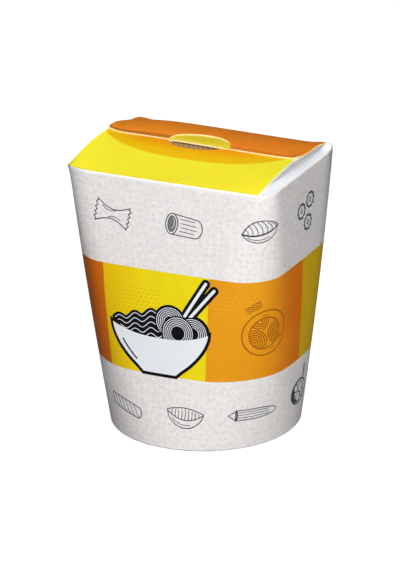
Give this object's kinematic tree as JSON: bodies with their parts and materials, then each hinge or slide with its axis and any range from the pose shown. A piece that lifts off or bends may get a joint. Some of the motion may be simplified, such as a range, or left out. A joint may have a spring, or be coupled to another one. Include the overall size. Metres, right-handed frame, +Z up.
{
  "type": "noodle takeaway box",
  "caption": "Shut paperboard takeaway box with a round foot, a rectangular rim and an arched two-flap lid with a finger hole.",
  "frame": {"origin": "centre of the round foot, on the surface that the box stands on", "axes": "+Z up along the box's height, +X to the right along the rim's long side, -Y towards the front, where the yellow flap folds"},
  "size_m": [0.1, 0.086, 0.1327],
  "materials": {
    "printed_board": "satin coated paperboard, printed in yellow and orange fields",
    "plain_board": "uncoated white paperboard"
  },
  "bodies": {
    "root": {"paper_box": "printed_board", "base_disc": "plain_board"}
  },
  "joints": []
}
